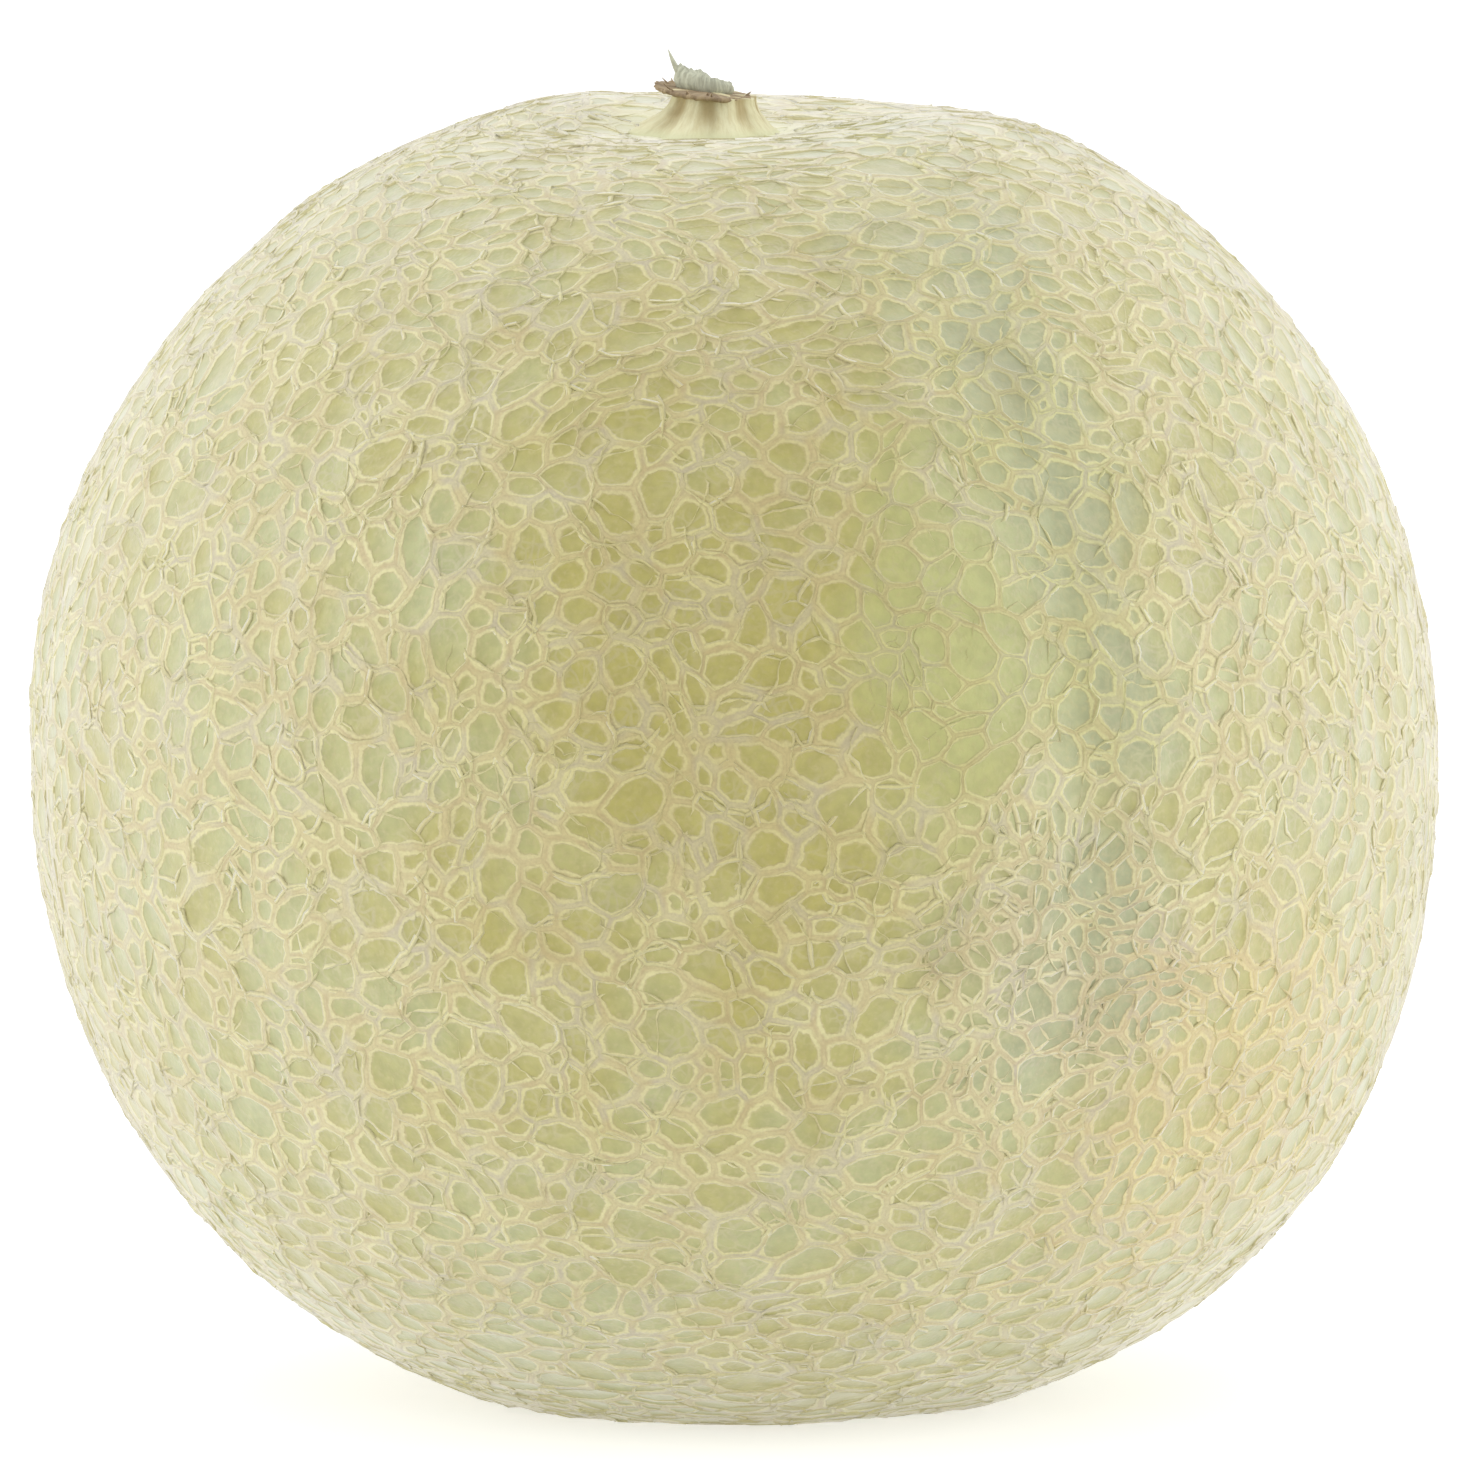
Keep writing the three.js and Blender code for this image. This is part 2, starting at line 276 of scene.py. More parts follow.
def buildPatchGroup():
    # a mask of 1 inside a patch of the ball and 0 outside, with an uneven edge
    tree = bpy.data.node_groups.new("rindPatch", "GeometryNodeTree")
    number = "NodeSocketFloat"
    given, result = addSockets(tree, [(name, number, None) for name in (
        "Turn", "Level", "Half Width", "Half Height")], [("Mask", number)])
    place = put(tree, "GeometryNodeInputPosition").outputs[0]
    turned = put(tree, "ShaderNodeVectorRotate", {
        "Vector": vector(tree, "NORMALIZE", place), "Angle": calc(tree, "MULTIPLY", given["Turn"], -1.0)},
        rotation_type="Z_AXIS")
    outward, sideways, upward = put(tree, "ShaderNodeSeparateXYZ", {0: turned.outputs[0]}).outputs
    across = calc(tree, "DIVIDE", sideways, given["Half Width"])
    along = calc(tree, "DIVIDE", calc(tree, "SUBTRACT", upward, given["Level"]), given["Half Height"])
    away = vector(tree, "LENGTH", put(tree, "ShaderNodeCombineXYZ", {0: across, 1: along}).outputs[0])
    edge = put(tree, "ShaderNodeTexNoise", {"Vector": place, "Scale": patchEdge["scale"], "Detail": 2.0})
    uneven = calc(tree, "MULTIPLY", calc(tree, "SUBTRACT", edge.outputs[0], 0.5), patchEdge["unevenness"])
    inside = remap(tree, calc(tree, "ADD", away, uneven), *patchEdge["fade"], 1.0, 0.0)
    tree.links.new(calc(tree, "MULTIPLY", inside, calc(tree, "GREATER_THAN", outward, 0.0)),
                   result["Mask"])
    return tree


def patchMask(tree, group, name):
    turn, level, halfWidth, halfHeight = patches[name]
    return put(tree, "GeometryNodeGroup", {
        "Turn": turn, "Level": level, "Half Width": halfWidth, "Half Height": halfHeight},
        node_tree=group).outputs[0]


# The net: cells of rind, each in a ring of corky strands
net = {
    "cells": 6200,
    "dropShare": 0.13,  # of the cells, whose neighbours grow into their place
    "shake": 0.5,  # of the distance between two cells
    "added": 0.6,  # the same, from a cell to one added near it in the fine patch
    "seed": 5,
    "hubSpread": 0.02,  # mm2, under which all the faces round a point belong to one cell
    "girthScale": 0.3,  # of the noise that makes strands wider and thinner, in 1/mm
    "leastFree": 0.22,  # of a cell, however wide its strands are
    "baldWidth": 0.55,  # of the strands in the bare patch, against those elsewhere
    "fineWidth": 0.7,
    "baldHeight": 0.6,
    "sizes": {
        "Ball Radius": ballRadius,
        "Strand Half Width": 0.8,
        "Width Variation": 0.75,
        "Roundness": 1.42,  # of the cells' corners
        "Crest": 0.36,
        "Floor": 0.1,
        "Drift": 4.5,
        "Drift Size": 9.0,
        "Bend": 1.1,
        "Bend Size": 2.8,
        "Swell": 0.7,
        "Swell Size": 14.0,
    },
}


def cellMiddles(plan):
    draws = np.random.default_rng(plan["seed"])
    count = plan["cells"]
    goldenTurn = math.pi * (3 - math.sqrt(5))
    polar = evenPolarFor(np.arccos(1 - 2 * (np.arange(count) + 0.5) / count))
    middles = directionsAt(polar, np.arange(count) * goldenTurn)
    spacing = math.sqrt(4 * math.pi / count)
    middles += plan["shake"] * spacing * draws.uniform(-1, 1, (count, 3))
    middles = normalised(middles[draws.random(count) > plan["dropShare"]])

    # closer together in the fine patch
    turn, level, _, reach = patches["fine"]
    patchMiddle = directionsAt(math.acos(level), turn)
    near = middles[np.linalg.norm(middles - patchMiddle, axis=1) < reach]
    added = near + plan["added"] * spacing * normalised(draws.uniform(-1, 1, near.shape))
    return normalised(np.concatenate([middles, added])) * ballRadius


def wandering(tree, place, amount, size, detail=1.0):
    # a sideways shift that changes smoothly from place to place
    drift = put(tree, "ShaderNodeTexNoise", {
        "Vector": place, "Scale": calc(tree, "DIVIDE", 1.0, size), "Detail": detail})
    return scaled(tree, vector(tree, "SUBTRACT", drift.outputs["Color"], (0.5, 0.5, 0.5)), amount)


def stored(tree, geometry, name, value, kind="FLOAT", domain="POINT"):
    node = put(tree, "GeometryNodeStoreNamedAttribute", {
        "Geometry": geometry, "Name": name, "Value": value}, data_type=kind, domain=domain)
    return node.outputs[0]


def read(tree, name, kind="FLOAT"):
    return put(tree, "GeometryNodeInputNamedAttribute", {"Name": name}, data_type=kind).outputs[0]


def buildCellGroup():
    # each cell of the ball cut into corners round its hub: hub is 1 there and 0 on the strands
    tree = bpy.data.node_groups.new("netCells", "GeometryNodeTree")
    given, result = addSockets(
        tree,
        [("Middles", "NodeSocketGeometry", None), ("Drift", "NodeSocketFloat", None),
         ("Drift Size", "NodeSocketFloat", None)],
        [("Cells", "NodeSocketGeometry"), ("Corners", "NodeSocketGeometry")])
    place = put(tree, "GeometryNodeInputPosition").outputs[0]
    hull = put(tree, "GeometryNodeConvexHull", {0: given["Middles"]})
    cells = put(tree, "GeometryNodeDualMesh", {0: hull.outputs[0]})
    drifted = put(tree, "GeometryNodeSetPosition", {
        "Geometry": cells.outputs[0],
        "Offset": wandering(tree, place, given["Drift"], given["Drift Size"])})
    tree.links.new(drifted.outputs[0], result["Cells"])
    middled = stored(tree, drifted.outputs[0], "middle", place, "FLOAT_VECTOR", "FACE")
    corners = put(tree, "GeometryNodeSubdivideMesh", {"Mesh": middled, "Level": 1})

    # only round a hub do all the faces belong to one cell, so that their middles don't spread
    own = read(tree, "middle", "FLOAT_VECTOR")
    square = vector(tree, "DOT_PRODUCT", own, own)
    squares = put(tree, "GeometryNodeFieldOnDomain", {0: square}, data_type="FLOAT", domain="FACE")
    spread = calc(tree, "SUBTRACT", squares.outputs[0], square)
    hub = calc(tree, "LESS_THAN", spread, net["hubSpread"])
    hubbed = stored(tree, corners.outputs[0], "hub", hub)

    # half way along a strand a point has four neighbours, where strands meet it has three
    neighbours = put(tree, "GeometryNodeInputMeshVertexNeighbors").outputs["Vertex Count"]
    halfWay = calc(tree, "MULTIPLY", calc(tree, "GREATER_THAN", neighbours, 3.5),
                   calc(tree, "LESS_THAN", read(tree, "hub"), 0.5))
    marked = stored(tree, hubbed, "halfWay", halfWay)
    marked = stored(tree, marked, "halfWayPlace", scaled(tree, place, halfWay), "FLOAT_VECTOR")
    tree.links.new(marked, result["Corners"])
    return tree


def placedCells(tree, group, given):
    return put(tree, "GeometryNodeGroup", {
        name: given[name] for name in ("Middles", "Drift", "Drift Size")}, node_tree=group).outputs


def buildNetTree(material, cellGroup, patchGroup):
    tree = bpy.data.node_groups.new("nettedRind", "GeometryNodeTree")
    sizes = [(name, "NodeSocketFloat", None) for name in net["sizes"]]
    given, result = addSockets(tree, [("Middles", "NodeSocketGeometry", None), *sizes],
                               [("Rind", "NodeSocketGeometry")])
    place = put(tree, "GeometryNodeInputPosition").outputs[0]
    bald, fine = patchMask(tree, patchGroup, "bald"), patchMask(tree, patchGroup, "fine")
    fineCells = put(tree, "GeometryNodeSubdivideMesh", {
        "Mesh": placedCells(tree, cellGroup, given)["Corners"], "Level": 1})
    hub, middle = read(tree, "hub"), read(tree, "middle", "FLOAT_VECTOR")

    # a crest needs no point between half way and its end: there it moves to the end and merges
    halfWay = read(tree, "halfWay")
    spare = calc(tree, "MULTIPLY", calc(tree, "LESS_THAN", hub, 0.1), calc(
        tree, "COMPARE", halfWay, 0.5, 0.1))
    end = scaled(tree, vector(tree, "SUBTRACT", place, read(tree, "halfWayPlace", "FLOAT_VECTOR")), 2.0)
    moved = put(tree, "GeometryNodeSetPosition", {
        "Geometry": fineCells.outputs[0], "Selection": spare, "Position": end})
    merged = put(tree, "GeometryNodeMergeByDistance", {"Geometry": moved.outputs[0], "Distance": 0.001})

    # the foot of the strands is a round ring in each cell, on its spokes and on its corners
    onSpoke = calc(tree, "GREATER_THAN", hub, 0.4)
    ring = calc(tree, "MULTIPLY", calc(tree, "GREATER_THAN", hub, 0.1), calc(tree, "LESS_THAN", hub, 0.9))
    spoke = vector(tree, "SUBTRACT", place, middle)
    reach = calc(tree, "MULTIPLY", vector(tree, "LENGTH", spoke), blended(
        tree, onSpoke, given["Roundness"], 2.0))
    girth = put(tree, "ShaderNodeTexNoise", {
        "Vector": place, "Scale": net["girthScale"], "Detail": 2.0}).outputs[0]
    uneven = calc(tree, "MULTIPLY", calc(tree, "SUBTRACT", girth, 0.5), 4.0)
    width = calc(tree, "MULTIPLY", given["Strand Half Width"],
                 calc(tree, "ADD", 1.0, calc(tree, "MULTIPLY", uneven, given["Width Variation"])))
    width = calc(tree, "MULTIPLY", width, calc(
        tree, "MINIMUM", remap(tree, bald, 0.0, 1.0, 1.0, net["baldWidth"]),
        remap(tree, fine, 0.0, 1.0, 1.0, net["fineWidth"])))
    free = calc(tree, "MAXIMUM", calc(tree, "SUBTRACT", reach, width),
                calc(tree, "MULTIPLY", reach, net["leastFree"]))
    footPlace = vector(tree, "ADD", middle, scaled(tree, vector(tree, "NORMALIZE", spoke), free))
    drawnIn = put(tree, "GeometryNodeSetPosition", {
        "Geometry": merged.outputs[0], "Selection": ring, "Position": footPlace})

    # crests stand up, floors lie low, and the whole rind swells a little
    crest = calc(tree, "LESS_THAN", hub, 0.1)
    netted = stored(tree, drawnIn.outputs[0], "net", crest)
    for name in patches:
        netted = stored(tree, netted, name, patchMask(tree, patchGroup, name))
    crestNoise = put(tree, "ShaderNodeTexNoise", {"Vector": place, "Scale": 0.35, "Detail": 2.0})
    height = calc(tree, "MULTIPLY", given["Crest"], remap(tree, crestNoise.outputs[0], 0.3, 0.7, 0.8, 1.15))
    height = calc(tree, "MULTIPLY", height, remap(tree, bald, 0.0, 1.0, 1.0, net["baldHeight"]))
    lift = blended(tree, crest, given["Floor"], height)
    swell = put(tree, "ShaderNodeTexNoise", {
        "Vector": place, "Scale": calc(tree, "DIVIDE", 1.0, given["Swell Size"]), "Detail": 1.0})
    swollen = calc(tree, "MULTIPLY", calc(tree, "SUBTRACT", swell.outputs[0], 0.5), given["Swell"])
    radius = calc(tree, "ADD", given["Ball Radius"], calc(tree, "ADD", lift, swollen))
    bent = vector(tree, "ADD", place, wandering(tree, place, given["Bend"], given["Bend Size"]))
    lifted = put(tree, "GeometryNodeSetPosition", {
        "Geometry": netted, "Position": scaled(tree, vector(tree, "NORMALIZE", bent), radius)})
    finish(tree, lifted.outputs[0], material, result["Rind"])
    return tree


def finish(tree, geometry, material, result):
    smooth = put(tree, "GeometryNodeSetShadeSmooth", {0: geometry})
    realized = put(tree, "GeometryNodeRealizeInstances", {0: smooth.outputs[0]})
    coated = put(tree, "GeometryNodeSetMaterial", {"Geometry": realized.outputs[0], "Material": material})
    tree.links.new(coated.outputs[0], result)


def addEndMasks(mesh, directions, fromStem):
    # where the materials change towards the stem and on the ground spot
    storeMask(mesh, "stemEnd", np.where(directions[:, 2] > 0, 1 - softStep(fromStem, *fruit["paleCrown"]), 0))
    storeMask(mesh, "ground", softStep(-directions[:, 2], *fruit["groundSpot"]))


def makeRind(material, cellGroup, patchGroup):
    piece = grown("melonRind", cellMiddles(net), buildNetTree(material, cellGroup, patchGroup), net["sizes"])
    points, directions, fromStem = ontoFruit(readPoints(piece.data))
    addEndMasks(piece.data, directions, fromStem)
    for name in ("middle", "hub", "halfWay", "halfWayPlace"):
        piece.data.attributes.remove(piece.data.attributes[name])
    return piece, points


# Thinner strands that lie on the net: along a wider net of their own, and beside its cords
strands = {
    "nets": {
        "crossingStrands": {"cells": 1300, "seed": 23, "dropShare": 0.1, "shake": 0.5, "added": 0.6,
                            "bundled": 0.0},
        "besideStrands": {**net, "bundled": 0.5},  # along the cords of the rind's own net
    },
    "sizes": {
        "Ball Radius": ballRadius,
        "Bundled": 0.0,  # the noise over which a way between two junctions has a strand
        "Half Width": 0.27,
        "Lift": -0.13,
        "Drift": 4.5,
        "Drift Size": 9.0,
        "Bend": 3.0,
        "Bend Size": 3.2,
    },
    "rayStart": 4.0,  # over the ball, from where the rind is looked for
    "girth": (0.55, 1.4),  # thinnest and thickest, in half widths
    "baldWidth": 0.7,
    "spacing": 0.8,  # of the points along a strand
    "sides": 3,
}


def buildStrandTree(material, cellGroup, patchGroup):
    tree = bpy.data.node_groups.new("thinStrands", "GeometryNodeTree")
    sizes = [(name, "NodeSocketFloat", None) for name in strands["sizes"]]
    given, result = addSockets(tree, [
        ("Middles", "NodeSocketGeometry", None), ("Rind", "NodeSocketObject", None), *sizes],
        [("Strands", "NodeSocketGeometry")])
    place = put(tree, "GeometryNodeInputPosition").outputs[0]
    bundled = put(tree, "ShaderNodeTexNoise", {"Vector": place, "Scale": 0.12, "Detail": 2.0}).outputs[0]
    ways = put(tree, "GeometryNodeMeshToCurve", {
        "Mesh": placedCells(tree, cellGroup, given)["Cells"],
        "Selection": calc(tree, "GREATER_THAN", bundled, given["Bundled"])})
    even = put(tree, "GeometryNodeResampleCurve", {
        "Curve": ways.outputs[0], "Length": strands["spacing"]}, mode="LENGTH")

    # each one wanders, and is laid on the netted rind under it
    bent = vector(tree, "NORMALIZE", vector(tree, "ADD", place, wandering(
        tree, place, given["Bend"], given["Bend Size"])))
    above = calc(tree, "ADD", given["Ball Radius"], strands["rayStart"])
    under = put(tree, "GeometryNodeRaycast", {
        "Target Geometry": put(tree, "GeometryNodeObjectInfo", {"Object": given["Rind"]}).outputs["Geometry"],
        "Source Position": scaled(tree, bent, above), "Ray Direction": scaled(tree, bent, -1.0),
        "Ray Length": 2 * strands["rayStart"]}).outputs["Hit Distance"]
    radius = calc(tree, "ADD", calc(tree, "SUBTRACT", above, under), given["Lift"])
    laid = put(tree, "GeometryNodeSetPosition", {
        "Geometry": even.outputs[0], "Position": scaled(tree, bent, radius)})
    girth = put(tree, "ShaderNodeTexNoise", {"Vector": place, "Scale": 0.4, "Detail": 1.0}).outputs[0]
    width = calc(tree, "MULTIPLY", given["Half Width"], remap(tree, girth, 0.3, 0.7, *strands["girth"]))
    bald = patchMask(tree, patchGroup, "bald")
    width = calc(tree, "MULTIPLY", width, remap(tree, bald, 0.0, 1.0, 1.0, strands["baldWidth"]))
    sized = put(tree, "GeometryNodeSetCurveRadius", {"Curve": laid.outputs[0], "Radius": width})
    profile = put(tree, "GeometryNodeCurvePrimitiveCircle", {"Resolution": strands["sides"], "Radius": 1.0})
    tubes = put(tree, "GeometryNodeCurveToMesh", {
        "Curve": sized.outputs[0], "Profile Curve": profile.outputs[0], "Fill Caps": True})
    if "Scale" in tubes.inputs:
        tree.links.new(put(tree, "GeometryNodeInputRadius").outputs[0], tubes.inputs["Scale"])
    named = tubes.outputs[0]
    for name in patches:
        named = stored(tree, named, name, patchMask(tree, patchGroup, name))
    finish(tree, named, material, result["Strands"])
    return tree


def makeStrands(tree, rindPiece):
    made = []
    for name, plan in strands["nets"].items():
        piece = grown(name, cellMiddles(plan), tree, {
            "Rind": rindPiece, **strands["sizes"], "Bundled": plan["bundled"]})
        points, directions, fromStem = ontoFruit(readPoints(piece.data))
        addEndMasks(piece.data, directions, fromStem)
        made.append((piece, points))
    return made


# The dried stem stub: a ribbed foot, a torn collar, the pale cut in it and a flap of torn skin
stem = {
    "footRadius": 8.6,
    "footEdge": 0.5,
    "ribs": 8,
    "ribTurn": math.radians(-71),  # where one of them stands
    "ribShare": 0.1,
    "neckRadius": 4.5,
    "neckHeight": 4.8,
    "segments": 240,
    "flareSteps": 26,
    "collarRadius": 5.3,
    "collarThickness": 0.48,
    "collarX": -1.5,
    "collarSlope": 0.03,  # in the lean of the stem
    "collarSag": 0.1,  # in front
    "flapRadius": 3.2,
    "flapHeight": 1.9,
    "flapPlace": (-1.2, 1.0),
    "flapDepth": 0.5,  # of its width
    "flapSlope": 0.27,
    "splinterLength": 5.2,
    "splinterLean": math.radians(34),
    "splinterX": -2.6,
    "splinters": 10,
    "seed": 7,
    "finishes": {  # two colours of fibre, and the roughness
        "stemFoot": ("d9d6b2", "ccc59e", 0.65),
        "stemCollar": ("816e55", "a08d6e", 0.8),
        "stemCut": ("d8d2ac", "c4b88e", 0.75),
        "stemFlap": ("c2c4ae", "a3a491", 0.8),
    },
    "hollowColour": "a59468",  # between the ribs
    "hemColour": "c9cba4",  # where the foot meets the rind
    "streaks": 5.0,
}


def wavyRing(radius, height, raggedness, phase, counts=(2, 5, 9, 17, 31)):
    # a ragged ring of points, its rim lifted where it reaches out
    draws = np.random.default_rng(stem["seed"] + phase)
    turn = np.linspace(0, 2 * math.pi, stem["segments"], endpoint=False)
    wave = sum(np.cos(count * turn + draws.uniform(0, 2 * math.pi)) / (1 + 0.35 * i)
               for i, count in enumerate(counts)) / len(counts)
    reach = radius * (1 + raggedness * wave)
    return np.stack([reach * np.cos(turn), reach * np.sin(turn), height + 1.4 * raggedness * wave], -1)


def ribbedRing(radius, height, share, grain):
    turn = np.linspace(0, 2 * math.pi, stem["segments"], endpoint=False)
    draws = np.random.default_rng(stem["seed"])
    unevenRibs = sum(draws.uniform(0.2, 0.6) * np.cos(count * turn + draws.uniform(0, 6))
                     for count in (3, 7, 13))
    fibres = sum(draws.uniform(0.3, 1) * np.cos(count * turn + draws.uniform(0, 6))
                 for count in (29, 41, 53, 67)) / 4
    ribs = np.cos(stem["ribs"] * (turn - stem["ribTurn"]))
    reach = radius * (1 + share * (ribs + 0.3 * unevenRibs)) + grain * fibres
    return np.stack([reach * np.cos(turn), reach * np.sin(turn), np.full_like(turn, height)], -1)


def ringsToMesh(name, rings):
    # a closed skin through rings listed from the bottom up
    count = len(rings[0])
    points = np.concatenate([*rings, [rings[0].mean(0)], [rings[-1].mean(0)]])
    low, high = len(points) - 2, len(points) - 1
    faces = []
    for i in range(count):
        j = (i + 1) % count
        last = (len(rings) - 1) * count
        faces += [(low, j, i), (high, last + i, last + j)]
        faces += [(r * count + i, r * count + j, (r + 1) * count + j, (r + 1) * count + i)
                  for r in range(len(rings) - 1)]
    mesh = bpy.data.meshes.new(name)
    mesh.from_pydata(points.tolist(), [], faces)
    mesh.polygons.foreach_set("use_smooth", [True] * len(mesh.polygons))
    return mesh


def roughened(points, amount, size):
    return points + np.array([noise.noise_vector(Vector(p / size)) for p in points]) * amount


def makeFoot():
    rings = [wavyRing(stem["footRadius"] * 1.09, -0.55, 0.02, 0)]
    for step in range(stem["flareSteps"] + 1):
        share = step / stem["flareSteps"]
        radius = stem["neckRadius"] + (stem["footRadius"] - stem["neckRadius"]) * (1 - share) ** 2
        height = stem["footEdge"] * 0.2 + (stem["neckHeight"] - stem["footEdge"] * 0.2) * share
        rings.append(ribbedRing(radius, height, stem["ribShare"] * (1 - share / 2), 0.05 + 0.1 * share))
    mesh = ringsToMesh("stemFoot", rings)
    writePoints(mesh, roughened(readPoints(mesh), 0.12, 1.1))
    return mesh


def makeCollar():
    neck, reach, thick = stem["neckRadius"], stem["collarRadius"], stem["collarThickness"]
    under = stem["neckHeight"] - thick / 2
    rings = [
        wavyRing(neck * 0.8, under, 0.1, 1),
        wavyRing(reach * 0.92, under - thick * 0.1, 0.2, 1),
        wavyRing(reach, under + thick * 0.4, 0.22, 1),
        wavyRing(reach * 0.97, under + thick, 0.22, 1),
        wavyRing(reach * 0.86, under + thick * 0.8, 0.16, 1),
    ]
    return slopedMesh("stemCollar", rings, 0.16)


def makeCut():
    # the pale surface inside the collar, where the stem came off
    neck, base = stem["neckRadius"], stem["neckHeight"]
    rings = [
        wavyRing(neck * 0.85, base - 0.4, 0.05, 2),
        wavyRing(neck * 0.9, base, 0.08, 2),
        wavyRing(neck * 0.7, base + 0.08, 0.1, 2),
        wavyRing(neck * 0.4, base + 0.08, 0.1, 2),
    ]
    return slopedMesh("stemCut", rings, 0.2)


def slopedMesh(name, rings, roughness):
    # slopes from side to side and sags in front
    mesh = ringsToMesh(name, rings)
    points = roughened(readPoints(mesh), roughness, 0.9)
    inFront = np.clip(-points[:, 1] / stem["collarRadius"], 0, 1)
    points[:, 2] -= stem["collarSlope"] * points[:, 0] + stem["collarSag"] * inFront ** 2
    points[:, 0] += stem["collarX"]
    writePoints(mesh, points)
    return mesh


def makeFlap():
    # torn skin that stands behind the cut, higher on the left
    radius, height, base = stem["flapRadius"], stem["flapHeight"], stem["neckHeight"]
    rings = [
        wavyRing(radius * 0.9, base - 0.2, 0.06, 4),
        wavyRing(radius * 1.02, base + height * 0.35, 0.1, 4),
        wavyRing(radius * 0.96, base + height * 0.75, 0.16, 4),
        wavyRing(radius * 0.84, base + height, 0.24, 4),
        wavyRing(radius * 0.6, base + height * 0.8, 0.2, 4),
        wavyRing(radius * 0.2, base + height * 0.7, 0.1, 4),
    ]
    mesh = ringsToMesh("stemFlap", rings)
    points = roughened(readPoints(mesh), 0.22, 0.8)
    rise = np.clip((points[:, 2] - base) / height, 0, 1)
    points[:, 2] -= stem["flapSlope"] * points[:, 0] * rise
    points[:, 1] *= stem["flapDepth"]
    points[:, :2] += stem["flapPlace"]
    writePoints(mesh, points)
    return mesh


def spike(base, tip, radius, sides=9, steps=8):
    # a bent, pointed fibre from base to tip
    base, tip = np.array(base, float), np.array(tip, float)
    ahead = normalised(tip - base)
    side = normalised(np.cross(ahead, (0.3, 1, 0.2)))
    over = np.cross(ahead, side)
    turn = np.linspace(0, 2 * math.pi, sides, endpoint=False)
    rings = []
    for step in range(steps + 1):
        share = step / steps
        middle = base + (tip - base) * share + side * 0.12 * math.sin(3 * share) * radius * 4
        width = radius * (1 - share) ** 0.8 + 0.03
        rings.append(middle + width * (np.cos(turn)[:, None] * side + np.sin(turn)[:, None] * over))
    return rings


def makeSplinters():
    # one long dry fibre, and short ones on the rim of the collar
    draws = np.random.default_rng(stem["seed"] + 20)
    base, lean, length = stem["neckHeight"], stem["splinterLean"], stem["splinterLength"]
    x, y = stem["splinterX"], stem["flapPlace"][1]
    meshes = [ringsToMesh("splinter", spike(
        (x, y, base), (x - length * math.sin(lean), y, base + length * math.cos(lean)), 0.6))]
    for i in range(stem["splinters"]):
        turn, out = draws.uniform(0, 2 * math.pi), draws.uniform(3.4, 4.8)
        across, deep = out * math.cos(turn), out * math.sin(turn)
        level = base - stem["collarSlope"] * across
        start = (across + stem["collarX"], deep, level - 0.1)
        stretch = draws.uniform(1.1, 1.35)
        end = (start[0] * stretch, start[1] * stretch, level + draws.uniform(0.3, 0.9))
        meshes.append(ringsToMesh("splinter", spike(start, end, draws.uniform(0.12, 0.25))))
    return meshes


def joinedMesh(name, meshes, materials):
    # several meshes in one, each with its own material of the list
    points, faces, slots, start = [], [], [], 0
    for mesh, slotIndex in meshes:
        points.append(readPoints(mesh))
        faces += [tuple(start + v for v in face.vertices) for face in mesh.polygons]
        slots += [slotIndex] * len(mesh.polygons)
        start += len(mesh.vertices)
    whole = bpy.data.meshes.new(name)
    whole.from_pydata(np.concatenate(points).tolist(), [], faces)
    for material in materials:
        whole.materials.append(material)
    whole.polygons.foreach_set("material_index", slots)
    whole.polygons.foreach_set("use_smooth", [True] * len(faces))
    return whole


def makeStem(materials):
    noise.seed_set(stem["seed"])
    meshes = [(makeFoot(), 0), (makeCollar(), 1), (makeCut(), 2), (makeFlap(), 3)]
    fibre, *splinters = makeSplinters()
    meshes += [(fibre, 3), *[(splinter, 1) for splinter in splinters]]
    return linked("stemStub", joinedMesh("stemStub", meshes, materials))


# Materials

def newMaterial(name):
    material = bpy.data.materials.new(name)
    material.use_nodes = True
    tree = material.node_tree
    return material, tree, tree.nodes["Principled BSDF"]


def objectPlace(tree, scale=1.0, offset=(0, 0, 0)):
    mapping = put(tree, "ShaderNodeMapping", {
        "Vector": put(tree, "ShaderNodeTexCoord").outputs["Object"],
        "Location": offset, "Scale": (scale, scale, scale)})
    return mapping.outputs[0]


def noiseAt(tree, place, size, detail):
    return put(tree, "ShaderNodeTexNoise", {"Vector": place, "Scale": 1 / size, "Detail": detail}).outputs[0]


def mask(tree, name):
    return put(tree, "ShaderNodeAttribute", attribute_name=name).outputs["Fac"]


cork = {
    "rim": hexColour("c9c392"),
    "crest": hexColour("b5a77d"),
    "lavender": hexColour("b3aa8f"),
    "tints": {  # each multiplies the colour
        # the green tint makes the bare patch's cords greener, and paints shade on the cords of the open
        # suture
        "Green": (0.90, 0.94, 0.84, 1.0),
        "White": (1.01, 1.0, 1.13, 1.0),
        "Yellow": (1.02, 0.95, 0.85, 1.0),
        # the ripe tint darkens and yellows the cords in the middle of the front: a ripe tone and painted
        # shade
        "RipeAndShade": (0.89, 0.86, 0.72, 1.0),
    },
    "rimPlace": (0.08, 0.28, 0.45, 0.8),  # across half a strand, where its bright rim begins and ends
    "bundle": 1.1,  # how many cords lie side by side in half a strand
    "cordShift": 2.5,  # by a noise of the next size
    "cordSize": 3.2 * mm,
    "cordHeight": 0.45,  # against the rims
    "dimRims": 0.65,
    "patchSize": 9 * mm,  # of bright and dim rims
    "crestSize": 5 * mm,  # of brown and lavender crests
    "grainSize": 0.35 * mm,
    "grainTones": (0.94, 1.04),
    "grainHeight": 0.3,
    "sheen": 0.7,
    "roughness": 0.75,
    "bumpStrength": 0.5,
    "rindBump": 0.25 * mm,
    "strandBump": 0.1 * mm,
}


